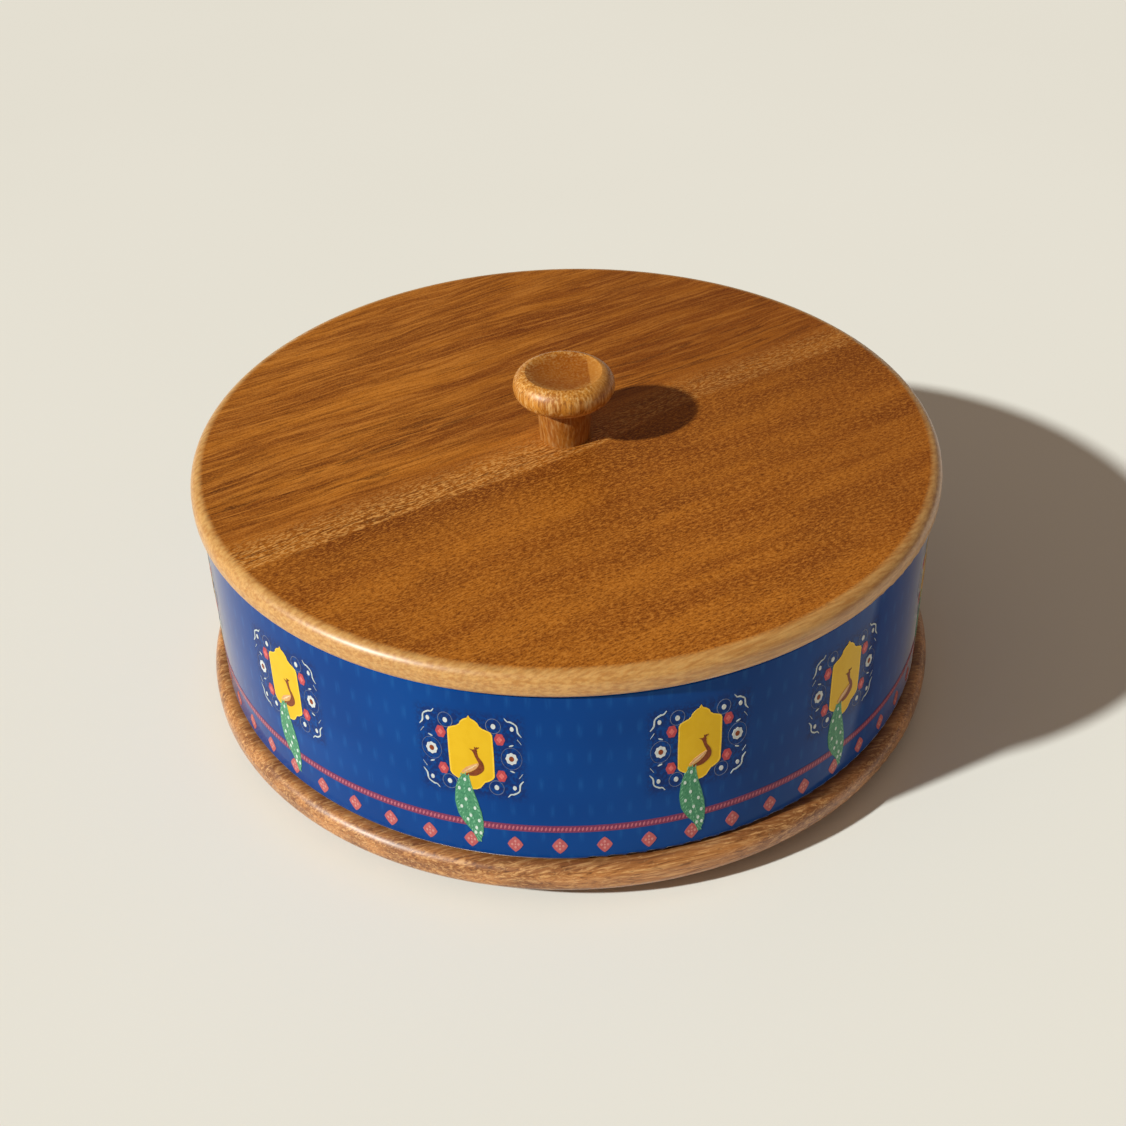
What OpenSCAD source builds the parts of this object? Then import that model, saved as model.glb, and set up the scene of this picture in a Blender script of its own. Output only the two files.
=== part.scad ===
// Round spice box (masala dabba): an enamelled steel drum on a wooden base, a loose wooden lid
// with a turned knob, seven steel bowls and a spoon inside.
// Millimetres. Origin: centre of the plane that the feet stand on. +Z is up.

/* [Drum] */
// Outer diameter of the steel drum
drum_d = 236; // [190:1:290]
// Height of the drum, from the base's top face to its rim
drum_h = 63.5; // [50:0.5:80]
// Thickness of the enamelled sheet
sheet_t = 0.8; // [0.6:0.1:1.2]
// Outer radius of the drum's bottom corner
drum_corner_r = 1.8; // [1.4:0.1:4]
// How far the rim's sheet is folded down inside
hem_depth = 8; // [5:0.5:12]

/* [Base] */
// How far the base stands out past the drum
base_overhang = 4.5; // [3:0.5:10]
// Thickness of the base board
base_t = 9.5; // [9:0.5:16]
// Rounding of the base's top edge
base_top_r = 4; // [2:0.5:5]
// Rounding of the base's bottom edge
base_bottom_r = 3.5; // [2:0.5:4]

/* [Feet] */
// Diameter of a stick-on foot
foot_d = 18; // [12:1:24]
// Height of a foot
foot_h = 5; // [1:0.25:8]
// Distance from the base's edge to the middle of a foot
foot_inset = 25; // [16:1:40]

/* [Lid] */
// How far the lid stands out past the drum
lid_overhang = 2; // [1.5:0.5:8]
// Thickness of the lid board
lid_t = 8.7; // [8:0.1:16]
// Rounding of the lid's top edge
lid_top_r = 4; // [2:0.5:4.5]
// Rounding of the lid's bottom edge
lid_bottom_r = 3; // [1.5:0.5:3.5]
// Thickness of the plug, the locating disc under the lid
plug_t = 5; // [4:0.5:9]
// Gap all round between the plug and the drum's rim
plug_gap = 1; // [0.5:0.1:2]
// Gap between the drum's rim and the lid's underside
lid_seat_gap = 0.2; // [0.1:0.1:0.5]

/* [Knob] */
// Widest diameter of the knob's head
knob_d = 32.4; // [26:0.2:42]
// Height of the knob's head
knob_head_h = 9.9; // [9:0.1:14]
// Height of the knob's neck
knob_neck_h = 13.8; // [8:0.2:20]
// Diameter of the neck where it meets the head
knob_neck_top_d = 17.7; // [15:0.1:22]
// Diameter of the neck where it meets the lid
knob_neck_bottom_d = 16.4; // [14:0.1:22]
// Radius of the shallow dish in the knob's top
knob_dish_r = 40; // [30:1:90]
// Depth of the dish below the head's highest level
knob_dish_depth = 2; // [1:0.1:3]
// Diameter of the tenon under the neck
tenon_d = 10; // [8:0.5:12]
// Length of the tenon
tenon_l = 4; // [3:0.5:5]

/* [Bowls] */
// Gap between neighbouring bowls, and between the outer bowls and the rim
bowl_gap = 1.5; // [1:0.1:3]
// Thickness of a bowl's sheet
bowl_t = 0.7; // [0.5:0.1:1]
// Radius of the bead rolled round a bowl's mouth
bead_r = 1.5; // [1.2:0.1:2]
// Inner radius of a bowl's bottom corner
bowl_corner_r = 8; // [5:0.5:12]
// Free height between the bowls' mouths and the lid's plug
head_room = 12.5; // [10:0.5:20]

/* [Spoon] */
// Diameter of the spoon's round bowl
spoon_d = 27; // [20:1:34]
// Depth of the spoon's bowl
spoon_depth = 7; // [5:0.5:9]
// Thickness of the spoon's metal
spoon_t = 1.2; // [0.8:0.1:2]
// Width of the handle beside the spoon's bowl
handle_neck_w = 5.5; // [4:0.5:8]
// Width of the handle at its end
handle_end_w = 11; // [8:0.5:16]
// How far the handle reaches past the middle bowl
handle_past = 12; // [6:1:30]

/* [Screws] */
// Shank diameter of the screws that hold the drum and the plug
small_screw_d = 3; // [2.5:0.5:3.5]
// Length of the drum screws under their heads
drum_screw_l = 8; // [6:0.5:8.5]
// Length of the plug screws
plug_screw_l = 12; // [10:0.5:12.5]
// Shank diameter of the knob screw
knob_screw_d = 4; // [3:0.5:5]
// How deep the knob screw goes into the knob, from the neck's lower end
knob_screw_grip = 14; // [8:0.5:16]
// Distance from the drum's outer wall to the drum screws
drum_screw_inset = 13; // [11:0.5:16]
// Distance from the plug's edge to the plug screws
plug_screw_inset = 43; // [20:1:55]
// Outer diameter of the washer under the knob screw's head
washer_d = 12; // [10:0.5:15]
// Thickness of the washer
washer_t = 1; // [0.8:0.1:1.5]

/* [Hidden] */
$fn = 96;

// Clearances
hole_gap = 0.05;       // radial, between a screw's shank and its hole
clear_hole_gap = 0.25; // radial, where the knob screw passes through the lid
tenon_gap = 0.1;       // radial, between the tenon and its socket
spoon_gap = 0.2;       // between the handle and the bowls' mouths
head_gap = 2;          // radial, between the washer and the hole in the plug

// Levels
base_bottom_z = foot_h;
base_top_z = base_bottom_z + base_t;
drum_top_z = base_top_z + drum_h;
floor_z = base_top_z + sheet_t;
lid_bottom_z = drum_top_z + lid_seat_gap;
lid_top_z = lid_bottom_z + lid_t;
plug_bottom_z = lid_bottom_z - plug_t;
neck_top_z = lid_top_z + knob_neck_h;
bowl_top_z = plug_bottom_z - head_room;

// Drum, base and lid
drum_r = drum_d / 2;
base_r = drum_r + base_overhang;
lid_r = drum_r + lid_overhang;
mouth_r = drum_r - 2 * sheet_t;
plug_r = mouth_r - plug_gap;
plug_top_edge_r = 0.5;
plug_bottom_edge_r = 1.5; // larger, to lead the plug into the drum's mouth

// Bowls: one in the middle and a ring of six that fills the drum's mouth
ring_count = 6;
bowl_r = (mouth_r - 2 * bowl_gap) / 3;
ring_r = 2 * bowl_r + bowl_gap;
bowl_inner_r = bowl_r - 2 * bead_r;
bowl_h = bowl_top_z - floor_z;

// Feet
foot_count = 4;
foot_ring_r = base_r - foot_inset;
foot_edge_r = 0.4;
cut_past = 1; // how far a cutting solid runs past the face it cuts

// Screws
cross_depth_share = 0.6;  // of the head's height
cross_width_share = 1 / 7; // of the head's diameter
cross_length_share = 0.55; // of the head's diameter
tip_share = 0.2;          // width of a screw's tip, of its shank's diameter
drum_screw_count = 3;
drum_screw_ring_r = drum_r - drum_screw_inset;
drum_screw_turn = 180 / ring_count;
plug_screw_count = 4;
plug_screw_ring_r = plug_r - plug_screw_inset;
plug_screw_turn = 45;
head_d_share = 2;         // of the shank's diameter
head_h_share = 0.6;       // of the shank's diameter
screw_head_d = head_d_share * small_screw_d;
screw_head_h = head_h_share * small_screw_d;
knob_screw_head_d = head_d_share * knob_screw_d;
knob_screw_head_h = head_h_share * knob_screw_d;
socket_z = lid_top_z - tenon_l;
knob_screw_z = lid_bottom_z - washer_t;

// Places children on a circle, at the corners of a regular polygon.
module ring(count, radius, turn = 0) {
    for (i = [0 : count - 1]) rotate(turn + i * 360 / count) translate([radius, 0, 0]) children();
}

// Half section of a disc whose two edges are rounded.
module rounded_section(r, t, top_r, bottom_r) {
    square([r - max(top_r, bottom_r), t]);
    translate([0, bottom_r]) square([r, t - top_r - bottom_r]);
    translate([0, t / 2]) square([r - top_r, t / 2]);
    square([r - bottom_r, t / 2]);
    translate([r - top_r, t - top_r]) circle(top_r);
    translate([r - bottom_r, bottom_r]) circle(bottom_r);
}

module rounded_disc(r, t, top_r, bottom_r) {
    rotate_extrude() rounded_section(r, t, top_r, bottom_r);
}

// Quarter ring of sheet that turns a wall into a floor. The corner's centre is the origin.
module corner_section(outer_r, t) {
    intersection() {
        difference() {
            circle(outer_r);
            circle(outer_r - t);
        }
        translate([0, -outer_r]) square(outer_r);
    }
}

// A screw whose head stands on the plane z = 0, with its shank below.
module pan_screw(d, l, head_d, head_h) {
    tip_l = d;
    difference() {
        union() {
            translate([0, 0, -l]) cylinder(d1 = d * tip_share, d2 = d, h = tip_l);
            translate([0, 0, tip_l - l]) cylinder(d = d, h = l - tip_l);
            rotate_extrude() intersection() {
                square([head_d / 2, head_h]);
                translate([0, head_h - head_d]) circle(head_d);
            }
        }
        cross_recess(head_d, head_h);
    }
}

// A countersunk screw whose flat head is flush with the plane z = 0, with its shank below.
module flat_screw(d, l, head_d, head_h) {
    tip_l = d;
    difference() {
        union() {
            translate([0, 0, -l]) cylinder(d1 = d * tip_share, d2 = d, h = tip_l);
            translate([0, 0, tip_l - l]) cylinder(d = d, h = l - tip_l - head_h);
            translate([0, 0, -head_h]) cylinder(d1 = d, d2 = head_d, h = head_h);
        }
        translate([0, 0, -head_h]) cross_recess(head_d, head_h);
    }
}

// Cross slot for the driver, cut down from the top of a head that starts at z = 0.
module cross_recess(head_d, head_h) {
    slot_w = head_d * cross_width_share;
    slot_l = head_d * cross_length_share;
    for (a = [0, 90]) rotate(a)
        translate([-slot_l / 2, -slot_w / 2, head_h * (1 - cross_depth_share)])
            cube([slot_l, slot_w, head_h]);
}

module base_disc() {
    color("peru") difference() {
        translate([0, 0, base_bottom_z]) rounded_disc(base_r, base_t, base_top_r, base_bottom_r);
        ring(drum_screw_count, drum_screw_ring_r, drum_screw_turn)
            translate([0, 0, floor_z - drum_screw_l])
                cylinder(r = small_screw_d / 2 + hole_gap, h = drum_screw_l);
    }
}

module foot(i) {
    color("gainsboro") rotate(45 + (i - 1) * 360 / foot_count) translate([foot_ring_r, 0, 0])
        rounded_disc(foot_d / 2, foot_h, foot_edge_r, foot_edge_r);
}

module drum_section() {
    wall_x = drum_r - sheet_t;
    corner = [drum_r - drum_corner_r, base_top_z + drum_corner_r];
    rim_z = drum_top_z - sheet_t;
    translate([0, base_top_z]) square([corner[0], sheet_t]);
    translate(corner) corner_section(drum_corner_r, sheet_t);
    translate([wall_x, corner[1]]) square([sheet_t, rim_z - corner[1]]);
    translate([mouth_r, drum_top_z - hem_depth]) square([2 * sheet_t, hem_depth - sheet_t]);
    translate([wall_x, rim_z]) circle(sheet_t);
}

module drum_pan() {
    color("royalblue") difference() {
        rotate_extrude() drum_section();
        ring(drum_screw_count, drum_screw_ring_r, drum_screw_turn)
            translate([0, 0, base_top_z - cut_past])
                cylinder(r = small_screw_d / 2 + hole_gap, h = sheet_t + 2 * cut_past);
    }
}

module drum_screws() {
    color("silver") ring(drum_screw_count, drum_screw_ring_r, drum_screw_turn)
        translate([0, 0, floor_z]) pan_screw(small_screw_d, drum_screw_l, screw_head_d, screw_head_h);
}

module lid_disc() {
    color("peru") difference() {
        translate([0, 0, lid_bottom_z]) rounded_disc(lid_r, lid_t, lid_top_r, lid_bottom_r);
        translate([0, 0, socket_z])
            cylinder(r = tenon_d / 2 + tenon_gap, h = tenon_l + cut_past);
        translate([0, 0, lid_bottom_z - cut_past])
            cylinder(r = knob_screw_d / 2 + clear_hole_gap, h = lid_t);
        plug_screw_places() translate([0, 0, -plug_screw_l])
            cylinder(r = small_screw_d / 2 + hole_gap, h = plug_screw_l);
    }
}

// The plug screws' places: heads in the plug's underside, shanks pointing up.
module plug_screw_places() {
    ring(plug_screw_count, plug_screw_ring_r, plug_screw_turn)
        translate([0, 0, plug_bottom_z]) rotate([180, 0, 0]) children();
}

module lid_plug() {
    color("burlywood") difference() {
        translate([0, 0, plug_bottom_z]) 
            rounded_disc(plug_r, plug_t, plug_top_edge_r, plug_bottom_edge_r);
        translate([0, 0, plug_bottom_z - cut_past])
            cylinder(d = washer_d + 2 * head_gap, h = plug_t + 2 * cut_past);
        plug_screw_places() {
            translate([0, 0, -plug_t - cut_past])
                cylinder(r = small_screw_d / 2 + hole_gap, h = plug_t + 2 * cut_past);
            translate([0, 0, -screw_head_h])
                cylinder(r1 = small_screw_d / 2 + hole_gap,
                    r2 = screw_head_d / 2 + hole_gap, h = screw_head_h);
        }
    }
}

module plug_screws() {
    color("silver") plug_screw_places()
        flat_screw(small_screw_d, plug_screw_l, screw_head_d, screw_head_h);
}

module knob_section() {
    edge_r = knob_head_h / 2;
    head_z = neck_top_z + edge_r;
    difference() {
        union() {
            translate([knob_d / 2 - edge_r, head_z]) circle(edge_r);
            translate([0, neck_top_z]) square([knob_d / 2 - edge_r, knob_head_h]);
            polygon([[0, lid_top_z], [knob_neck_bottom_d / 2, lid_top_z],
                [knob_neck_top_d / 2, neck_top_z], [knob_neck_top_d / 2, head_z], [0, head_z]]);
            translate([0, socket_z]) square([tenon_d / 2, tenon_l + cut_past]);
        }
        translate([0, neck_top_z + knob_head_h - knob_dish_depth + knob_dish_r]) circle(knob_dish_r);
        translate([-knob_d, lid_bottom_z]) square([knob_d, knob_d * 2]);
    }
}

module knob() {
    color("sandybrown") difference() {
        rotate_extrude() knob_section();
        translate([0, 0, socket_z - cut_past])
            cylinder(r = knob_screw_d / 2 + hole_gap, h = tenon_l + knob_screw_grip + cut_past);
    }
}

module knob_screw() {
    grip_top_z = lid_top_z + knob_screw_grip;
    color("silver") translate([0, 0, knob_screw_z]) rotate([180, 0, 0])
        pan_screw(knob_screw_d, grip_top_z - knob_screw_z, knob_screw_head_d, knob_screw_head_h);
}

module knob_washer() {
    color("silver") translate([0, 0, knob_screw_z]) difference() {
        cylinder(d = washer_d, h = washer_t);
        translate([0, 0, -cut_past])
            cylinder(r = knob_screw_d / 2 + clear_hole_gap, h = washer_t + 2 * cut_past);
    }
}

// Half section of a bowl that stands on z = 0.
module bowl_section() {
    outer_corner_r = bowl_corner_r + bowl_t;
    corner = [bowl_inner_r - bowl_corner_r, outer_corner_r];
    square([corner[0], bowl_t]);
    translate(corner) corner_section(outer_corner_r, bowl_t);
    translate([bowl_inner_r, corner[1]]) square([bowl_t, bowl_h - bead_r - corner[1]]);
    translate([bowl_inner_r + bead_r, bowl_h - bead_r]) circle(bead_r);
}

module bowl() {
    color("gainsboro") translate([0, 0, floor_z]) rotate_extrude() bowl_section();
}

module ring_bowl(i) {
    rotate((i - 1) * 360 / ring_count) translate([ring_r, 0, 0]) bowl();
}

// The spoon's bowl hangs in ring bowl 4 and its handle lies across the middle bowl.
module spoon() {
    handle_z = bowl_top_z + spoon_gap;
    shell_r = (pow(spoon_d / 2, 2) + pow(spoon_depth, 2)) / (2 * spoon_depth);
    handle_l = ring_r + bowl_r + handle_past;
    handle_start = spoon_d / 2 - 2 * spoon_t;
    end_x = handle_l - handle_end_w / 2;
    color("silver") translate([-ring_r, 0, handle_z]) {
        rotate_extrude() intersection() {
            translate([0, spoon_t - spoon_depth]) square([spoon_d / 2, spoon_depth]);
            difference() {
                translate([0, spoon_t - spoon_depth + shell_r]) circle(shell_r);
                translate([0, spoon_t - spoon_depth + shell_r]) circle(shell_r - spoon_t);
            }
        }
        linear_extrude(spoon_t) {
            polygon([[handle_start, -handle_neck_w / 2], [end_x, -handle_end_w / 2],
                [end_x, handle_end_w / 2], [handle_start, handle_neck_w / 2]]);
            translate([end_x, 0]) circle(d = handle_end_w);
        }
    }
}

base_disc();
foot(1);  // foot_1
foot(2);  // foot_2
foot(3);  // foot_3
foot(4);  // foot_4
drum_pan();
drum_screws();
lid_disc();
lid_plug();
plug_screws();
knob();
knob_screw();
knob_washer();
bowl();  // bowl_centre
ring_bowl(1);  // bowl_1
ring_bowl(2);  // bowl_2
ring_bowl(3);  // bowl_3
ring_bowl(4);  // bowl_4
ring_bowl(5);  // bowl_5
ring_bowl(6);  // bowl_6
spoon();
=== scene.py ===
"""Round spice box: the finishes of its wood, enamel and steel, and the print round its drum."""

import math

import bpy
from mathutils import Matrix, Vector


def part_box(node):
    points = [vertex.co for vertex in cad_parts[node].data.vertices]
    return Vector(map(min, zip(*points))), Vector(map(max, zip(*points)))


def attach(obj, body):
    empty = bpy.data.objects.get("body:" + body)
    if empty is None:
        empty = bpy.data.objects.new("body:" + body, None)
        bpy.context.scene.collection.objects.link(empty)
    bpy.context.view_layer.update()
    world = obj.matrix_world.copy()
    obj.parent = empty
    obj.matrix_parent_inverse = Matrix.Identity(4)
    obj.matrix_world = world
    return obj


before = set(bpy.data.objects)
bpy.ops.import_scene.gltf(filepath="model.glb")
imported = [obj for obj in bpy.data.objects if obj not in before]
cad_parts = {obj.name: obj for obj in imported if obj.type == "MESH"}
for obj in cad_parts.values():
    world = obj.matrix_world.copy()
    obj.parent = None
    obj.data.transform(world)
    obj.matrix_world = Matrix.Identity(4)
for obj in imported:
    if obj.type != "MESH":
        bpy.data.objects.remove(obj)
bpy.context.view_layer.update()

MM = 0.001
FULL_TURN = 2 * math.pi

# ---------------------------------------------------------------- sizes from the frame
drum_low, drum_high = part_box("drum_pan")
lid_low, lid_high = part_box("lid_disc")
DRUM_RADIUS = drum_high.x
DRUM_RADIUS_MM = DRUM_RADIUS / MM
LID_RADIUS_MM = lid_high.x / MM
LID_LOW_MM = lid_low.z / MM
KNOB_TOP_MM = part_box("knob")[1].z / MM
GIRTH_MM = FULL_TURN * DRUM_RADIUS_MM
BOWLS = ["bowl_centre"] + [f"bowl_{number}" for number in range(1, 7)]

# ---------------------------------------------------------------- sizes of the print, in millimetres
LOZENGE_COUNT = 57
LOZENGE_PITCH = FULL_TURN / LOZENGE_COUNT
FIRST_LOZENGE = math.radians(3.9)
BIRD_GROUP = [-8, -3, 2, 6]   # the lozenge that each bird of one printed sheet hangs over
SHEET_COUNT = 3
BIRD_SHIFT = math.radians(0.8)
BIRD_ANGLES = [
    FIRST_LOZENGE + BIRD_SHIFT + number * LOZENGE_PITCH + sheet * FULL_TURN / SHEET_COUNT
    for sheet in range(SHEET_COUNT)
    for number in BIRD_GROUP
]
MEDALLION_Z = 40.1            # middle of the medallion above the drum's lower edge
LOZENGE_Z = 6.3
ROPE_Z = 13.1
ROPE_HEIGHT = 2.6
TWISTS_PER_LOZENGE = 11
SIDES = (-1, 1)
CORNERS = [(side, up) for side in SIDES for up in SIDES]
FLORET_X, FLORET_Z = 8.5, 6.95    # from the medallion's middle to its red florets
FLOWER_X = 11.6               # to the white flowers beside it
RING_X, RING_Z = 6.9, 11.7    # to the rings in its corners
LEAF = (11.7, 4.9)            # to the small slanting leaves
INK_DEPTH = 0.1               # how far the ink's underside lies inside the enamel's surface
ROPE_RELIEF = 0.05            # how far the rope stands out of the enamel
SLICE_WIDTH = 1.6             # widest flat strip of a shape that is bent round the drum
ROPE_STEPS = 360
DROP_COLUMNS = 266            # faint upright drops under the print
DROP_PITCH = 20.4             # from one drop to the next in a column
HALO_HALF_WIDTH = 13.5        # dark field round each medallion
HALO_FADE = 3.5
HALO_RISE = 4.5               # the same fade, up and down


def linear(red, green, blue):
    """A colour that is given in the 0 to 255 steps of a screen, as the shaders take it."""
    steps = [value / 255 for value in (red, green, blue)]
    return tuple(s / 12.92 if s <= 0.04045 else ((s + 0.055) / 1.055) ** 2.4 for s in steps) + (1.0,)


# ---------------------------------------------------------------- finishes
LID_GRAIN = (0, 0, math.radians(31))
BASE_GRAIN = (0, 0, math.radians(14))
KNOB_GRAIN = (math.radians(-9), 0, math.radians(8))
BAND_EDGE = -11.6             # where the lid's flecked band starts, across the grain, in millimetres
BAND_RISE = 5.5               # how much further across it lies past the knob


class Value:
    """A number that changes over a surface. Its operators add Math nodes."""

    def __init__(self, finish, socket):
        self.finish = finish
        self.socket = socket

    def maths(self, operation, *others):
        return self.finish.node("ShaderNodeMath", {"operation": operation}, [self, *others])

    def __add__(self, other):
        return self.maths("ADD", other)

    def __sub__(self, other):
        return self.maths("SUBTRACT", other)

    def __rsub__(self, other):
        return self.finish.node("ShaderNodeMath", {"operation": "SUBTRACT"}, [other, self])

    def __mul__(self, other):
        return self.maths("MULTIPLY", other)

    def __truediv__(self, other):
        return self.maths("DIVIDE", other)

    __radd__ = __add__
    __rmul__ = __mul__

    def rise(self, low, high):
        """0 below low, 1 above high, and a soft slope between."""
        return self.finish.node(
            "ShaderNodeMapRange", {"interpolation_type": "SMOOTHSTEP"},
            {"Value": self, "From Min": low, "From Max": high},
        )

    def fall(self, low, high):
        """1 below low, 0 above high, and a soft slope between."""
        return 1 - self.rise(low, high)


class Finish:
    """A material whose node tree is being written."""

    def __init__(self, name, **surface):
        self.material = bpy.data.materials.new(name)
        self.material.use_nodes = True
        self.nodes = self.material.node_tree.nodes
        self.links = self.material.node_tree.links
        self.shader = self.nodes["Principled BSDF"]
        self.coordinates = self.node("ShaderNodeTexCoord", output="Object")
        for socket, value in surface.items():
            self.set(socket.replace("_", " ").title().replace("Ior", "IOR"), value)

    def node(self, kind, settings=None, sockets=None, output=0):
        """Adds a node, sets its settings first, and gives its sockets their values or links."""
        node = self.nodes.new(kind)
        for setting, value in (settings or {}).items():
            setattr(node, setting, value)
        named = sockets.items() if isinstance(sockets, dict) else enumerate(sockets or [])
        for socket, value in named:
            if isinstance(value, Value):
                self.links.new(value.socket, node.inputs[socket])
            else:
                node.inputs[socket].default_value = value
        return Value(self, node.outputs[output])

    def set(self, socket, value):
        """Gives the surface a value, or links a changing one to it."""
        if isinstance(value, Value):
            self.links.new(value.socket, self.shader.inputs[socket])
        else:
            self.shader.inputs[socket].default_value = value

    def placed(self, size=(1, 1, 1), turn=(0, 0, 0), middle=(0, 0, 0)):
        """Places on the object, measured from middle along turned axes, in steps of size millimetres."""
        step = [part * MM for part in size]
        return self.node(
            "ShaderNodeMapping", {"vector_type": "TEXTURE"},
            {"Vector": self.coordinates, "Location": middle, "Rotation": turn, "Scale": step},
        )

    def noise(self, vector, detail=2.0, roughness=0.5, distortion=0.0):
        return self.node(
            "ShaderNodeTexNoise", {"noise_dimensions": "3D"},
            {"Vector": vector, "Scale": 1.0, "Detail": detail, "Roughness": roughness,
             "Distortion": distortion},
        )

    def parts(self, vector):
        """The X, Y and Z of a vector."""
        split = self.node("ShaderNodeSeparateXYZ", None, [vector]).socket.node
        return [Value(self, socket) for socket in split.outputs]

    def joined(self, x, y, z):
        return self.node("ShaderNodeCombineXYZ", None, [x, y, z])

    def mix(self, factor, first, second, blend="MIX"):
        settings = {"data_type": "RGBA", "blend_type": blend}
        return self.node("ShaderNodeMix", settings, {0: factor, 6: first, 7: second}, output=2)

    def stained(self, colour, *layers):
        """Lays stains over a colour, one after another: each is an amount and a screen colour."""
        for amount, stain in layers:
            colour = self.mix(amount, colour, linear(*stain))
        return colour

    def bump(self, height, reach, strength):
        """Raises the surface by height, which runs from 0 to 1, times reach in millimetres."""
        self.set("Normal", self.node(
            "ShaderNodeBump", None,
            {"Height": height, "Distance": reach * MM, "Strength": strength},
        ))


def radius_of(x, y):
    """The distance from the upright middle line."""
    return (x * x + y * y).maths("SQRT")


def lid_wood():
    """Streaky on one side of a flecked band, mottled on the other, with a paler rounded edge and a
    painted highlight along its lower edge.
    """
    wood = Finish("lid_wood", coat_roughness=0.38, specular_ior_level=0.12)
    x, y, z = wood.parts(wood.placed())
    along, plain_across, height = wood.parts(wood.placed(turn=LID_GRAIN))
    sway = wood.noise(wood.placed((70, 30, 30), LID_GRAIN), 1.5)
    ripple = wood.noise(wood.placed((18, 6, 6), LID_GRAIN), 1.0)
    across = plain_across + (sway - 0.5) * 9.0 + (ripple - 0.5) * 2.6

    def fibres(length, width, detail=3.0, roughness=0.6, shift=0.0):
        """Noise that is drawn out along the swaying grain. The sizes are in millimetres."""
        place = wood.joined(along / length + shift, across / width, height / (2.5 * width))
        return wood.noise(place, detail, roughness)

    # where each kind of wood lies, in millimetres across and along the grain
    beyond_edge = plain_across - ((sway - 0.5) * 3.0 + along.rise(0, 50) * BAND_RISE + BAND_EDGE)
    mottled = beyond_edge.fall(-0.4, 0.9)
    under_band = mottled * beyond_edge.rise(-24, -9) * (1 - along.rise(-10, 60) * 0.4)
    band = beyond_edge.rise(-0.4, 0.9) * beyond_edge.fall(7, 19) * (1 - along.rise(-20, 30) * 0.3)
    smooth_strip = beyond_edge.rise(8, 13) * beyond_edge.fall(17, 25)
    streaky = beyond_edge.rise(10, 24)
    behind_knob = plain_across.rise(5, 12) * (1 - plain_across.rise(24, 70) * 0.6) * along.rise(-50, -5)
    rim = radius_of(x, y).rise(LID_RADIUS_MM - 4.6, LID_RADIUS_MM - 2.4)
    # painted highlight: a pale line along the lid's lowest millimetre stands for light caught by its
    # lower edge
    painted_lower_edge_highlight = z.fall(LID_LOW_MM + 0.5, LID_LOW_MM + 1.1)

    # grain, from broad to fine
    figure = fibres(80, 9, 2.0, 0.5)
    cloud = wood.noise(wood.placed((50, 20, 20), LID_GRAIN), 2.0, 0.55)
    line = fibres(28, 2.4, 3.0, 0.66, 19.0)
    dark_lines = line.fall(0.37, 0.43) * plain_across.rise(6, 14) * plain_across.fall(30, 50)
    streak = fibres(25, 1.1, 2.0, 0.64)
    thread = fibres(9, 0.5, 2.0, 0.6, 29.0)
    pore = fibres(5.5, 0.42, 2.0, 0.6, 3.0)
    fleck = fibres(1.9, 0.6, 1.5, 0.55, 11.0)
    mottle = fibres(1.7, 0.68, 2.0, 0.6, 5.0)
    grit = wood.noise(wood.placed((0.6, 0.4, 0.5), LID_GRAIN), 1.0, 0.5)
    rim_streak = wood.noise(wood.placed((14, 1.3, 0.8), LID_GRAIN), 3.0, 0.6)

    colour = wood.mix(figure.rise(0.32, 0.68) * (1 - mottled * 0.45) + mottled * 0.24,
                      linear(126, 61, 9), linear(180, 106, 28))
    colour = wood.stained(
        colour,
        (cloud.rise(0.45, 0.7) * 0.5, (104, 45, 6)),
        (smooth_strip * 0.4, (170, 96, 26)),
        (streaky * along.fall(-40, 40) * 0.2, (190, 118, 42)),
        (streak.rise(0.47, 0.68) * (streaky * 0.5 + 0.12), (206, 131, 52)),
        (streak.fall(0.3, 0.47) * (streaky * 0.5 + 0.1), (88, 38, 6)),
        (thread.fall(0.33, 0.46) * (streaky * 0.34 + 0.14), (90, 42, 8)),
        (thread.rise(0.55, 0.68) * (streaky * 0.4), (208, 136, 58)),
        (dark_lines * 0.66, (68, 30, 8)),
        (band * 0.4, (166, 98, 32)),
        (band * fleck.rise(0.46, 0.6) * 0.85, (224, 160, 86)),
        (band * thread.fall(0.36, 0.5) * 0.75, (94, 44, 9)),
        (under_band * (0.34 + cloud.rise(0.36, 0.6) * 0.3), (94, 38, 5)),
        (mottled * mottle.rise(0.48, 0.66) * 0.66, (196, 124, 48)),
        (mottled * mottle.fall(0.32, 0.49) * 0.66, (98, 46, 8)),
        (pore.fall(0.3, 0.44) * 0.4, (88, 40, 8)),
        (grit.rise(0.46, 0.7) * 0.3, (206, 128, 48)),
        (grit.fall(0.3, 0.5) * 0.34, (88, 38, 5)),
        (along.rise(-10, 90) * 0.26, (98, 44, 6)),
        (behind_knob * 0.27, (106, 46, 6)),
    )
    pale = wood.mix(rim_streak.rise(0.3, 0.7), linear(178, 124, 62), linear(214, 166, 98))
    colour = wood.mix(rim * 0.78, colour, pale)
    # the pale mix here is the painted highlight along the lid's lower edge
    wood.set("Base Color", wood.stained(colour, (painted_lower_edge_highlight * 0.6, (226, 190, 160))))
    wood.set("Coat Weight", 0.04 + rim * 0.96)
    wood.set("Roughness", 0.5 - streak * 0.12 + mottled * 0.04)
    wood.bump(streak * 0.5 + pore * 0.5, 0.06, 0.5)
    return wood.material


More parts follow.
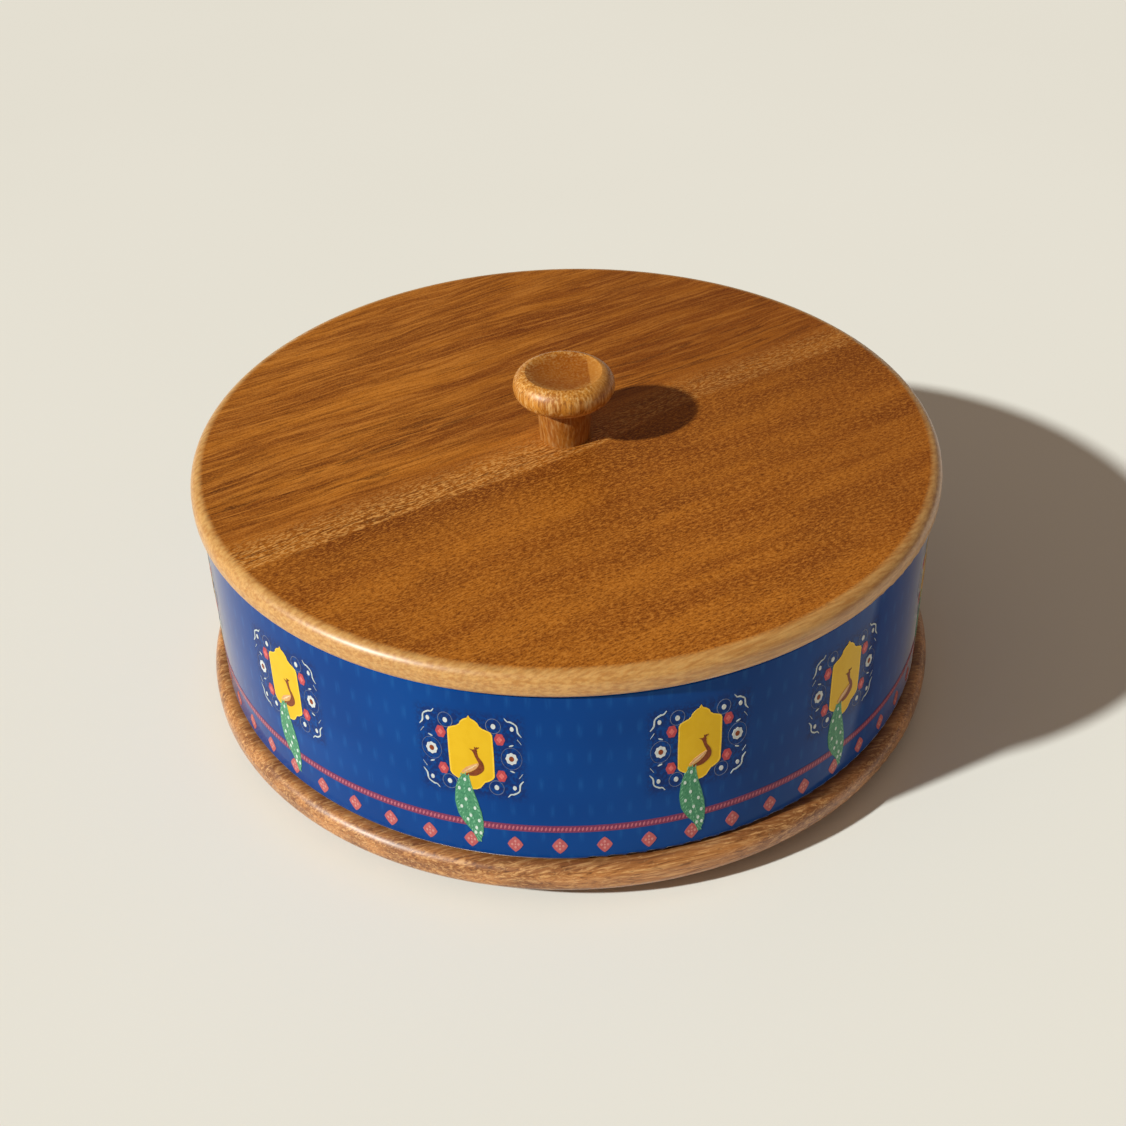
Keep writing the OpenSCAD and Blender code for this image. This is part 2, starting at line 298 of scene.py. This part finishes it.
def base_wood():
    """Closer grain than the lid's, with fine dark lines and pale specks, and painted shade at the drum's
    foot.
    """
    wood = Finish("base_wood", coat_weight=0.9, coat_roughness=0.42, specular_ior_level=0.15)
    x, y = wood.parts(wood.placed())[:2]
    figure = wood.noise(wood.placed((90, 9, 6), BASE_GRAIN), 2.0, 0.5)
    streak = wood.noise(wood.placed((16, 1, 0.8), BASE_GRAIN), 3.0, 0.7, 0.8)
    pore = wood.noise(wood.placed((5, 0.5, 0.5), BASE_GRAIN), 2.0, 0.6)
    speck = wood.noise(wood.placed((1.6, 0.8, 0.6), BASE_GRAIN), 2.0, 0.6)
    # painted shade: the base is darkened round the foot of the drum, where it stands on the base
    painted_shade_at_drum_foot = radius_of(x, y).fall(DRUM_RADIUS_MM - 0.5, DRUM_RADIUS_MM + 3.0)
    colour = wood.mix(figure.rise(0.32, 0.7), linear(132, 78, 34), linear(182, 118, 60))
    wood.set("Base Color", wood.stained(
        colour,
        (streak.rise(0.46, 0.7) * 0.75, (220, 168, 108)),
        (streak.fall(0.3, 0.47) * 0.8, (92, 50, 20)),
        (pore.fall(0.3, 0.46) * 0.55, (76, 40, 16)),
        # painted shade round the drum's foot
        (painted_shade_at_drum_foot * 0.45, (108, 62, 28)),
        (speck.rise(0.58, 0.72) * 0.25, (232, 184, 124)),
    ))
    wood.set("Roughness", 0.44 - streak * 0.1)
    wood.bump(streak * 0.5 + pore * 0.5, 0.07, 0.5)
    return wood.material


def knob_wood():
    """Turned wood whose grain stands nearly upright, darker in the dish and neck, with painted light on
    the right of its top.
    """
    wood = Finish("knob_wood", coat_roughness=0.42, specular_ior_level=0.12)
    x, y, z = wood.parts(wood.placed())
    figure = wood.noise(wood.placed((6, 4, 30), KNOB_GRAIN), 2.0, 0.5)
    streak = wood.noise(wood.placed((0.8, 0.8, 9), KNOB_GRAIN), 3.0, 0.6)
    pore = wood.noise(wood.placed((0.5, 0.4, 2.8), KNOB_GRAIN), 2.0, 0.6)
    dish = radius_of(x, y).fall(8.5, 14.0) * z.rise(KNOB_TOP_MM - 3.2, KNOB_TOP_MM - 2.2)
    # painted light: the right side of the knob's top is paler, as where light falls past the dish's rim
    painted_light_on_right = (x + y * 0.06).rise(7.7, 8.3) * z.rise(KNOB_TOP_MM - 3.6, KNOB_TOP_MM - 2.4)
    neck = z.fall(KNOB_TOP_MM - 13.5, KNOB_TOP_MM - 9.5)
    colour = wood.mix(figure.rise(0.3, 0.7), linear(166, 98, 22), linear(198, 130, 44))
    wood.set("Base Color", wood.stained(
        colour,
        (streak.rise(0.46, 0.68) * 0.75, (224, 178, 112)),
        (streak.fall(0.3, 0.47) * 0.65, (108, 54, 14)),
        (pore.fall(0.3, 0.44) * 0.5, (88, 42, 12)),
        (dish * 0.72, (132, 62, 4)),
        # painted light on the right of the knob's top
        (painted_light_on_right * 0.5, (202, 134, 54)),
        (neck * 0.55, (124, 60, 8)),
    ))
    wood.set("Coat Weight", 0.65 - dish * 0.6)
    wood.set("Roughness", 0.5 - streak * 0.1)
    wood.bump(streak * 0.5 + pore * 0.5, 0.06, 0.45)
    return wood.material


def plug_wood():
    """Sanded wood with no stain, under the lid."""
    wood = Finish("plug_wood", specular_ior_level=0.3)
    figure = wood.noise(wood.placed((110, 10, 10), LID_GRAIN), 2.0, 0.5, 0.4)
    streak = wood.noise(wood.placed((24, 1, 2), LID_GRAIN), 3.0, 0.6)
    colour = wood.mix(figure.rise(0.3, 0.7), linear(196, 150, 98), linear(226, 188, 138))
    wood.set("Base Color", wood.stained(colour, (streak.fall(0.3, 0.5) * 0.5, (158, 110, 66))))
    wood.set("Roughness", 0.68 - streak * 0.12)
    wood.bump(streak, 0.08, 0.5)
    return wood.material


def drum_enamel():
    """Royal blue enamel with faint upright drops, darker round the medallions, and a painted highlight
    along its lower edge.
    """
    enamel = Finish("blue_enamel", ior=1.18, sheen_weight=1.0, sheen_roughness=0.2)
    x, y, z = enamel.parts(enamel.placed(middle=(0, 0, drum_low.z)))
    angle = enamel.node("ShaderNodeMath", {"operation": "ARCTAN2"}, [x, y * -1.0])
    girth = angle * DRUM_RADIUS_MM
    outside = radius_of(x, y).rise(DRUM_RADIUS_MM - 0.6, DRUM_RADIUS_MM - 0.3)

    column = girth / (GIRTH_MM / DROP_COLUMNS)
    odd = (column.maths("FLOOR") * 0.5).maths("FRACT")
    row = z / DROP_PITCH - 0.25 + odd
    aside = (column.maths("FRACT") - 0.5).maths("ABSOLUTE")
    up = row.maths("FRACT")
    drop = aside.fall(0.08, 0.44) * up.rise(0.08, 0.24) * up.fall(0.28, 0.44)
    thread = enamel.noise(enamel.placed((0.5, 0.5, 6)), 2.0, 0.5)
    broad = enamel.noise(enamel.placed((40, 40, 30)), 1.0, 0.5)

    field = None
    for place in BIRD_ANGLES:
        turns_away = (angle - place) / FULL_TURN
        aside_of_bird = (turns_away - turns_away.maths("ROUND")) * GIRTH_MM
        here = aside_of_bird.maths("ABSOLUTE").fall(HALO_HALF_WIDTH, HALO_HALF_WIDTH + HALO_FADE)
        field = here if field is None else field.maths("MAXIMUM", here)
    off_middle = (z - MEDALLION_Z).maths("ABSOLUTE")
    field = field * off_middle.fall(HALO_HALF_WIDTH, HALO_HALF_WIDTH + HALO_RISE)
    speck = enamel.noise(enamel.placed((0.9, 0.9, 1.2)), 1.5, 0.6)

    colour = enamel.mix(broad.rise(0.3, 0.7), linear(0, 56, 123), linear(2, 63, 132))
    enamel.set("Base Color", enamel.stained(
        colour,
        (outside * drop * thread.rise(0.2, 0.7) * 0.34, (28, 92, 156)),
        (outside * field * speck.rise(0.35, 0.6) * 0.75, (16, 34, 88)),
        # painted highlight: a pale pink line along the drum's lowest millimetre and a half
        (outside * z.fall(0.4, 1.5) * 0.6, (106, 62, 92)),
    ))
    enamel.set("Roughness", 0.07 + broad * 0.06)
    enamel.bump(thread * 0.3 + broad, 0.03, 0.35)
    return enamel.material


def ink(name, colour, shade, grain=0.8):
    """Printed colour under the drum's gloss. In patches grain millimetres wide it nears shade."""
    layer = Finish(name, ior=1.2)
    patch = layer.noise(layer.placed((grain, grain, 1.4 * grain)), 2.0, 0.6)
    layer.set("Base Color", layer.mix(patch.rise(0.35, 0.75), linear(*colour), linear(*shade)))
    layer.set("Roughness", 0.1 + patch * 0.08)
    layer.bump(patch, 0.01, 0.3)
    return layer.material


def spun_steel(name, middle):
    """Stainless steel with the fine rings that spinning and polishing leave round a bowl."""
    steel = Finish(name, metallic=1.0)
    x, y, z = steel.parts(steel.placed(middle=middle))
    radius = radius_of(x, y)
    ring = steel.noise(steel.joined(radius * 5.0, z * 4.0, 0.0), 3.0, 0.6)
    smear = steel.noise(steel.placed((18, 18, 18)), 2.0, 0.5)
    colour = steel.mix(ring.rise(0.25, 0.75), linear(186, 186, 188), linear(222, 221, 220))
    steel.set("Base Color", colour)
    steel.set("Roughness", 0.13 + ring * 0.14 + smear * 0.12)
    steel.bump(ring, 0.015, 0.5)
    return steel.material


def brushed_steel(name, size, colour, roughness):
    """Steel that is brushed along the longest side of size, which is in millimetres."""
    steel = Finish(name, metallic=1.0)
    hairline = steel.noise(steel.placed(size), 3.0, 0.65)
    darker = [0.86 * part for part in colour]
    steel.set("Base Color", steel.mix(hairline, linear(*darker), linear(*colour)))
    steel.set("Roughness", roughness + hairline * 0.16)
    steel.bump(hairline, 0.02, 0.4)
    return steel.material


def foot_rubber():
    """Frosted clear rubber, a little dusty."""
    rubber = Finish("foot_rubber", specular_ior_level=0.4)
    dust = rubber.noise(rubber.placed((2, 2, 1)), 3.0, 0.6)
    rubber.set("Base Color", rubber.mix(dust, linear(176, 174, 168), linear(206, 204, 198)))
    rubber.set("Roughness", 0.5 + dust * 0.25)
    rubber.bump(dust, 0.04, 0.5)
    return rubber.material


def table_top():
    """Pale cream, matt, with the faintest cloudiness."""
    table = Finish("table_top", specular_ior_level=0.25)
    cloud = table.noise(table.placed((350, 350, 350)), 3.0, 0.5)
    table.set("Base Color", table.mix(cloud, linear(234, 230, 221), linear(238, 234, 226)))
    table.set("Roughness", 0.55 + cloud * 0.1)
    return table.material


def finish_node(node, material):
    """Gives a carried-over part its finish."""
    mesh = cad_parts[node].data
    mesh.materials.clear()
    mesh.materials.append(material)


# ---------------------------------------------------------------- modelling helpers
MERGE_DISTANCE = 0.002 * MM
SMOOTH_ANGLE = math.radians(30)


def pick(*pieces):
    """Selects these objects and nothing else, and makes the first one active."""
    bpy.ops.object.select_all(action="DESELECT")
    for piece in pieces:
        piece.select_set(True)
    bpy.context.view_layer.objects.active = pieces[0]


def settle(piece):
    """Puts a piece's place and turn into its mesh, and leaves its object at the origin."""
    pick(piece)
    bpy.ops.object.transform_apply(location=True, rotation=True, scale=True)


def close(piece):
    """Merges the seams of a solid and turns its faces outwards."""
    pick(piece)
    bpy.ops.object.mode_set(mode="EDIT")
    bpy.ops.mesh.select_all(action="SELECT")
    bpy.ops.mesh.remove_doubles(threshold=MERGE_DISTANCE)
    bpy.ops.mesh.normals_make_consistent(inside=False)
    bpy.ops.object.mode_set(mode="OBJECT")


# ---------------------------------------------------------------- flat shapes, in millimetres
def oval(x, y, across, tall, sides=14):
    """An upright oval of half-width across and half-height tall."""
    turns = [FULL_TURN * step / sides for step in range(sides)]
    return [(x + across * math.cos(turn), y + tall * math.sin(turn)) for turn in turns]


def flower(x, y, across, tall, petals, depth, sides=4):
    """An oval whose edge has petals, each depth of its size deep."""
    count = petals * sides
    shape = []
    for step in range(count):
        turn = FULL_TURN * step / count
        reach = 1 - depth / 2 + depth / 2 * math.cos(petals * turn)
        shape.append((x + across * reach * math.cos(turn), y + tall * reach * math.sin(turn)))
    return shape


def diamond(x, y, across, tall, roundness=1.35, sides=16):
    """A diamond with bulging sides and rounded corners."""
    shape = []
    for step in range(sides):
        turn = FULL_TURN * step / sides
        side, rise = math.cos(turn), math.sin(turn)
        reach = (abs(side) ** roundness + abs(rise) ** roundness) ** (-1 / roundness)
        shape.append((x + across * reach * side, y + tall * reach * rise))
    return shape


def smooth(points, steps=4):
    """Points on a curve that passes through all the given ones."""
    ends = [points[0], *points, points[-1]]
    line = []
    for before, start, stop, after in zip(ends, ends[1:], ends[2:], ends[3:]):
        for step in range(steps):
            t = step / steps
            line.append(tuple(
                0.5 * (2 * b + (c - a) * t + (2 * a - 5 * b + 4 * c - d) * t * t
                       + (3 * b - a - 3 * c + d) * t ** 3)
                for a, b, c, d in zip(before, start, stop, after)
            ))
    return line + [points[-1]]


def width_at(widths, share):
    """The width at this share of a stroke's length."""
    place = share * (len(widths) - 1)
    first = min(int(place), len(widths) - 2)
    return widths[first] + (widths[first + 1] - widths[first]) * (place - first)


def stroke(points, widths, steps=4):
    """The outline of a stroke along points, whose width follows the list of widths."""
    line = smooth(points, steps)
    left, right = [], []
    for number, (x, y) in enumerate(line):
        before = line[max(number - 1, 0)]
        after = line[min(number + 1, len(line) - 1)]
        run = math.hypot(after[0] - before[0], after[1] - before[1])
        width = width_at(widths, number / (len(line) - 1))
        aside = ((after[1] - before[1]) / run * width / 2, (before[0] - after[0]) / run * width / 2)
        left.append((x - aside[0], y - aside[1]))
        right.append((x + aside[0], y + aside[1]))
    return left + right[::-1]


def turned(shape, degrees, middle):
    """The shape, turned to the left about middle."""
    cos, sin = math.cos(math.radians(degrees)), math.sin(math.radians(degrees))
    x0, y0 = middle
    return [(x0 + (x - x0) * cos - (y - y0) * sin, y0 + (x - x0) * sin + (y - y0) * cos)
            for x, y in shape]


def four_ways(shape):
    """The shape in the medallion's four corners, each the mirror of the next."""
    return [[(side * x, up * y) for x, y in shape] for side, up in CORNERS]


def lifted(shapes, height=MEDALLION_Z):
    """The shapes, moved up from the medallion's middle to their place on the drum."""
    return [[(x, y + height) for x, y in shape] for shape in shapes]


def ringed(x, y, across, tall, line):
    """A thin oval ring: an outer and an inner outline."""
    return [oval(x, y, across, tall, 20), oval(x, y, across - line, tall - line, 20)]


PANEL_HALF_WIDTH = 6.6
PANEL_HALF_HEIGHT = 14
PANEL_HALF = [
    (0.0, 14.7), (0.5, 13.7), (1.6, 13.1), (2.5, 12.2), (2.9, 11.1), (3.8, 10.3), (5.2, 9.7),
    (6.1, 9.2), (6.5, 8.2), (6.6, 0.0), (6.5, -7.6), (6.0, -8.6), (4.8, -9.6), (3.6, -10.2),
    (3.0, -11.2), (2.2, -12.5), (1.1, -13.2), (0.0, -13.4),
]


def panel_shape(inset=0.0):
    """The yellow medallion: an arched panel with a small tip, made from its right half."""
    half = [(x * (1 - inset / PANEL_HALF_WIDTH), y * (1 - inset / PANEL_HALF_HEIGHT))
            for x, y in PANEL_HALF]
    return half + [(-x, y) for x, y in half[-2:0:-1]]


TAIL_LINE = [
    (-2.0, 32.2), (-2.7, 27.3), (-2.4, 21.7), (-1.6, 17.1), (-0.5, 13.4), (0.4, 10.0), (0.7, 5.7),
]
TAIL_WIDTHS = [1.6, 4.9, 6.9, 7.2, 5.8, 3.5, 0.4]


def tail_points(rows, reach):
    """Places in the tail, row by row: one on its middle line, then two beside it, and so on."""
    line = smooth(TAIL_LINE, 8)
    places = []
    for row in range(rows):
        share = (row + 0.9) / (rows + 0.9)
        number = int(share * (len(line) - 1))
        width = width_at(TAIL_WIDTHS, number / (len(line) - 1))
        x, y = line[number]
        if row % 2 == 0:
            places.append((x, y))
        elif width > 0.6:
            places += [(x + side * width / 2 * reach, y + 0.5) for side in (-1.0, 1.0)]
    return places


# ---------------------------------------------------------------- from flat shapes to a printed drum
def flat_piece(name, shapes, height, slice_width=0.0):
    """A thin slab of each shape, drawn flat: X round the drum, Y up it, Z outwards.

    It stands height out of the enamel and reaches INK_DEPTH into it. Both are in millimetres,
    as the shapes are. With a slice_width the slab is cut into strips that wide at most.
    """
    curve = bpy.data.curves.new(name, "CURVE")
    curve.dimensions = "2D"
    curve.fill_mode = "BOTH"
    curve.extrude = (height + INK_DEPTH) / 2 * MM
    for shape in shapes:
        spline = curve.splines.new("POLY")
        spline.points.add(len(shape) - 1)
        for point, (x, y) in zip(spline.points, shape):
            point.co = (x * MM, y * MM, 0, 1)
        spline.use_cyclic_u = True
    piece = bpy.data.objects.new(name, curve)
    bpy.context.scene.collection.objects.link(piece)
    piece.location.z = (height - INK_DEPTH) / 2 * MM
    pick(piece)
    bpy.ops.object.convert(target="MESH")
    piece = bpy.context.view_layer.objects.active
    settle(piece)
    close(piece)
    if slice_width:
        sliced(piece, slice_width * MM)
    return piece


def sliced(piece, width):
    """Cuts a flat piece across into strips, so that it can follow the drum's round."""
    places = [corner[0] for corner in piece.bound_box]
    low, high = min(places), max(places)
    pick(piece)
    bpy.ops.object.mode_set(mode="EDIT")
    count = int((high - low) / width)
    for number in range(1, count + 1):
        bpy.ops.mesh.select_all(action="SELECT")
        place = low + (high - low) * number / (count + 1)
        bpy.ops.mesh.bisect(plane_co=(place, 0, 0), plane_no=(1, 0, 0))
    bpy.ops.object.mode_set(mode="OBJECT")


def repeated(piece, angles):
    """Copies of a flat piece at these angles round the drum, joined into one."""
    copies = []
    for angle in angles[1:]:
        copy = piece.copy()
        copy.data = piece.data.copy()
        bpy.context.scene.collection.objects.link(copy)
        copy.location.x = angle * DRUM_RADIUS
        copies.append(copy)
    piece.location.x = angles[0] * DRUM_RADIUS
    pick(piece, *copies)
    bpy.ops.object.join()
    return bpy.context.view_layer.objects.active


def in_a_row(piece, first, count):
    """A row of count copies that goes once round the drum, starting at the angle first."""
    piece.location.x = (first - math.pi) * DRUM_RADIUS
    pick(piece)
    bpy.ops.object.modifier_add(type="ARRAY")
    row = piece.modifiers[-1]
    row.use_relative_offset = False
    row.use_constant_offset = True
    row.constant_offset_displace = (FULL_TURN * DRUM_RADIUS / count, 0, 0)
    row.count = count
    bpy.ops.object.modifier_apply(modifier=row.name)
    return piece


def printed(piece, material):
    """Bends a flat piece round the drum, puts it in its place and gives it its ink."""
    piece.rotation_euler.x = math.pi / 2
    settle(piece)
    places = [corner[0] for corner in piece.bound_box]
    bpy.ops.object.modifier_add(type="SIMPLE_DEFORM")
    bend = piece.modifiers[-1]
    bend.deform_method = "BEND"
    bend.deform_axis = "Z"
    bend.angle = (max(places) - min(places)) / DRUM_RADIUS
    bpy.ops.object.modifier_apply(modifier=bend.name)
    piece.location = (0, -DRUM_RADIUS, drum_low.z)
    settle(piece)
    dressed(piece, material)


def at_every_bird(name, shapes, height, material, slice_width=0.0):
    """Prints the shapes once for every bird, each set in its place round the drum."""
    piece = flat_piece(name, shapes, height, slice_width)
    printed(repeated(piece, BIRD_ANGLES), material)


def dressed(piece, material):
    """Smooth shading, finish and body of a piece that is in its place."""
    pick(piece)
    bpy.ops.object.shade_smooth_by_angle(angle=SMOOTH_ANGLE)
    piece.data.materials.clear()
    piece.data.materials.append(material)
    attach(piece, "box")


def printed_medallions():
    """The yellow panels with their rims, and the marks that surround them."""
    yellow = ink("print_yellow", (220, 176, 32), (216, 170, 26), 4)
    bright = ink("print_bright_yellow", (238, 198, 62), (228, 182, 40))
    red = ink("print_red", (184, 74, 78), (170, 62, 70), 0.6)
    blush = ink("print_blush", (214, 112, 106), (202, 90, 90), 0.5)
    white = ink("print_white", (206, 208, 204), (184, 188, 188))
    pale = ink("print_pale", (196, 202, 198), (164, 176, 180), 0.6)
    brown = ink("print_brown", (140, 66, 34), (104, 46, 26), 0.5)
    mist = ink("print_mist", (116, 120, 138), (86, 98, 126))

    at_every_bird("print_panels", lifted([panel_shape()]), 0.05, yellow, SLICE_WIDTH)
    rims = lifted([panel_shape(), panel_shape(0.45)])
    at_every_bird("print_panel_rims", rims, 0.07, bright, SLICE_WIDTH)

    florets = [flower(side * FLORET_X, up * FLORET_Z, 1.55, 2.35, 6, 0.13, 5) for side, up in CORNERS]
    at_every_bird("print_florets", lifted(florets), 0.06, red)
    hearts = [flower(side * FLORET_X, up * FLORET_Z, 0.8, 1.2, 4, 0.35) for side, up in CORNERS]
    at_every_bird("print_floret_hearts", lifted(hearts), 0.09, blush)

    marks = [flower(side * FLOWER_X, 0.0, 1.75, 2.3, 8, 0.13) for side in SIDES]
    marks += four_ways(oval(12.1, 11.2, 0.55, 0.85))
    marks += four_ways(oval(RING_X, 11.6, 0.68, 0.95))
    at_every_bird("print_white_marks", lifted(marks), 0.06, white)
    curls = four_ways(stroke(
        [(14.7, 8.4), (13.7, 10.0), (13.4, 12.4), (11.9, 13.7), (10.9, 13.9), (10.1, 15.0)],
        [0.2, 0.5, 0.4, 0.55, 0.4, 0.2],
    ))
    curls += four_ways(turned(oval(*LEAF, 0.75, 0.25, 10), 24, LEAF))
    curls += four_ways(stroke([(14.6, 5.6), (13.5, 7.4)], [0.1, 0.16], 2))
    at_every_bird("print_curls", lifted(curls), 0.06, pale)
    centres = [oval(side * FLOWER_X, 0.0, 0.72, 1.0) for side in SIDES]
    at_every_bird("print_floret_centres", lifted(centres), 0.09, brown)

    rings = []
    for side in SIDES:
        for up in SIDES:
            rings += ringed(side * RING_X, up * RING_Z, 2.2, 2.8, 0.17)
        rings += ringed(side * FLOWER_X, 0.0, 3.0, 4.2, 0.1)
    at_every_bird("print_rings", lifted(rings), 0.03, mist)


def printed_birds():
    """A bird on each panel, whose long spotted tail hangs down over the rope."""
    green = ink("print_green", (80, 142, 104), (58, 120, 88), 0.6)
    leaf = ink("print_leaf", (124, 180, 144), (98, 160, 120), 0.5)
    white = ink("print_tail_white", (206, 218, 208), (180, 200, 188))
    brown = ink("print_bird_brown", (132, 66, 34), (98, 46, 26), 0.5)
    peach = ink("print_peach", (214, 164, 108), (196, 140, 88), 0.6)
    cream = ink("print_cream", (226, 202, 160), (214, 184, 140), 0.6)

    tail = stroke(TAIL_LINE, TAIL_WIDTHS, 6)
    at_every_bird("print_tails", [tail], 0.09, green, SLICE_WIDTH)
    barbs = [
        turned(oval(x, y + row_shift, 0.16, 0.62, 6), (x + 1) * 9, (x, y + row_shift))
        for row_shift in (-0.75, 0.75)
        for x, y in tail_points(26, 0.8)
    ]
    at_every_bird("print_tail_barbs", barbs, 0.11, leaf)
    spots = [oval(x, y, 0.44, 0.72, 8) for x, y in tail_points(8, 0.56)]
    at_every_bird("print_tail_spots", spots, 0.13, white)

    body = stroke(
        [(-2.0, 32.2), (0.6, 33.0), (2.5, 35.0), (2.7, 37.2), (1.7, 39.4), (1.2, 41.4)],
        [0.5, 1.9, 2.0, 1.3, 0.95, 1.15], 5,
    )
    head = oval(1.15, 41.7, 0.75, 0.62, 12)
    beak = [(0.7, 42.1), (-0.35, 42.35), (0.6, 41.5)]
    crest = [stroke([(1.3, 42.1), (tip, 43.2)], [0.22, 0.3], 2) for tip in (1.2, 1.8, 2.4)]
    at_every_bird("print_bird_bodies", [body], 0.11, brown)
    at_every_bird("print_bird_heads", [head], 0.12, brown)
    at_every_bird("print_bird_crests", [beak, *crest], 0.13, brown)
    wing = stroke([(2.1, 37.1), (0.6, 35.6), (-1.2, 34.2), (-3.0, 32.9)], [0.3, 1.7, 1.9, 0.5], 5)
    at_every_bird("print_wings", [wing], 0.15, peach)
    quill = stroke([(1.6, 36.7), (-0.3, 35.0), (-2.2, 33.4)], [0.1, 0.45, 0.1], 3)
    at_every_bird("print_quills", [quill], 0.17, cream)


def printed_border():
    """The twisted rope that goes round the drum, and the row of seeded lozenges under it."""
    crimson = ink("print_crimson", (128, 56, 84), (108, 46, 78), 0.5)
    pink = ink("print_pink", (182, 104, 118), (162, 82, 102), 0.4)
    salmon = ink("print_salmon", (184, 94, 94), (172, 82, 84), 0.6)
    blush = ink("print_pale_salmon", (204, 138, 132), (192, 118, 114), 0.4)

    bpy.ops.object.select_all(action="DESELECT")
    bpy.ops.mesh.primitive_plane_add(size=1, rotation=(math.pi / 2, 0, 0))
    rope = bpy.context.view_layer.objects.active
    rope.name = "print_rope"
    thickness = (INK_DEPTH + ROPE_RELIEF) * MM
    rope.dimensions = (thickness, ROPE_HEIGHT * MM, 0)
    rope.location = (DRUM_RADIUS + ROPE_RELIEF * MM - thickness / 2, 0, drum_low.z + ROPE_Z * MM)
    settle(rope)
    bpy.ops.object.mode_set(mode="EDIT")
    bpy.ops.mesh.delete(type="ONLY_FACE")
    bpy.ops.mesh.select_all(action="SELECT")
    bpy.ops.mesh.spin(steps=ROPE_STEPS, angle=FULL_TURN, center=(0, 0, 0), axis=(0, 0, 1))
    bpy.ops.object.mode_set(mode="OBJECT")
    close(rope)
    dressed(rope, crimson)

    twist = stroke([(-0.22, -0.75), (0.0, 0.0), (0.22, 0.75)], [0.25, 0.68, 0.25], 2)
    twists = flat_piece("print_rope_twists", lifted([twist], ROPE_Z), 0.08)
    count = LOZENGE_COUNT * TWISTS_PER_LOZENGE
    printed(in_a_row(twists, 0.0, count), pink)

    lozenge = flat_piece("print_lozenges", [diamond(0, LOZENGE_Z, 2.3, 3.15, 1.22)], 0.06)
    start = math.pi + (FIRST_LOZENGE - LOZENGE_COUNT // 2 * LOZENGE_PITCH)
    printed(in_a_row(lozenge, start, LOZENGE_COUNT), salmon)
    seeds = [diamond(x, LOZENGE_Z + y, 0.4, 0.55, 1.6, 8)
             for x, y in ((0, 1.25), (0, -1.25), (0.95, 0), (-0.95, 0))]
    seeds.append(diamond(0, LOZENGE_Z, 0.28, 0.4, 1.6, 8))
    seed_piece = flat_piece("print_lozenge_seeds", seeds, 0.09)
    printed(in_a_row(seed_piece, start, LOZENGE_COUNT), blush)


# ---------------------------------------------------------------- carried-over parts
def finish_cad_parts():
    finish_node("lid_disc", lid_wood())
    finish_node("base_disc", base_wood())
    finish_node("knob", knob_wood())
    finish_node("lid_plug", plug_wood())
    finish_node("drum_pan", drum_enamel())
    rubber = foot_rubber()
    for number in range(1, 5):
        finish_node(f"foot_{number}", rubber)
    plated = brushed_steel("screw_steel", (0.6, 0.6, 2), (190, 190, 194), 0.24)
    for node in ("drum_screws", "plug_screws", "knob_screw", "knob_washer"):
        finish_node(node, plated)
    for bowl in BOWLS:
        low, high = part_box(bowl)
        middle = ((low.x + high.x) / 2, (low.y + high.y) / 2, low.z)
        finish_node(bowl, spun_steel(f"{bowl}_steel", middle))
    finish_node("spoon", brushed_steel("spoon_steel", (20, 0.4, 0.6), (214, 214, 214), 0.12))


# ---------------------------------------------------------------- stage
TARGET = Vector((-1.84 * MM, 0, lid_high.z - 51.77 * MM))   # what the camera looks at
CAMERA_DISTANCE = 570 * MM
CAMERA_HEIGHT = math.radians(36.718)
CAMERA_ROLL = math.radians(-1.595)
LENS = 53.39
KEY_DIRECTION = (-0.742, -0.37, 0.559)
KEY_STRENGTH = 4.3
KEY_WIDTH = math.radians(2.6)
KEY_COLOUR = (0.95, 1.0, 0.98)
FILL_STRENGTH = 0.235
FILL_COLOUR = (1.0, 0.8, 0.63, 1)
SENSOR_WIDTH = 36
FLOOR_SIZE = 24


def add_camera():
    back = Vector((0, -math.cos(CAMERA_HEIGHT), math.sin(CAMERA_HEIGHT)))
    level = Vector((1, 0, 0))
    upright = back.cross(level)
    right = level * math.cos(CAMERA_ROLL) + upright * math.sin(CAMERA_ROLL)
    up = back.cross(right)
    data = bpy.data.cameras.new("camera")
    data.lens = LENS
    data.sensor_width = SENSOR_WIDTH
    camera = bpy.data.objects.new("camera", data)
    bpy.context.scene.collection.objects.link(camera)
    place = TARGET + back * CAMERA_DISTANCE
    camera.matrix_world = Matrix.Translation(place) @ Matrix((right, up, back)).transposed().to_4x4()
    bpy.context.scene.camera = camera


def add_key_light():
    """A soft key light from the left and a little in front, far enough away to light the floor evenly."""
    data = bpy.data.lights.new("key_light", "SUN")
    data.energy = KEY_STRENGTH
    data.angle = KEY_WIDTH
    data.color = KEY_COLOUR
    light = bpy.data.objects.new("key_light", data)
    bpy.context.scene.collection.objects.link(light)
    light.rotation_euler = Vector(KEY_DIRECTION).to_track_quat("Z", "Y").to_euler()


def add_stage():
    bpy.ops.object.select_all(action="DESELECT")
    bpy.ops.mesh.primitive_plane_add(size=FLOOR_SIZE)
    floor = bpy.context.view_layer.objects.active
    floor.name = "floor"
    floor.data.materials.append(table_top())
    add_key_light()
    world = bpy.data.worlds.new("studio")
    world.use_nodes = True
    background = world.node_tree.nodes["Background"]
    background.inputs["Color"].default_value = FILL_COLOUR
    background.inputs["Strength"].default_value = FILL_STRENGTH
    bpy.context.scene.world = world
    bpy.context.scene.view_settings.view_transform = "Standard"


add_camera()
add_stage()
finish_cad_parts()
printed_medallions()
printed_birds()
printed_border()
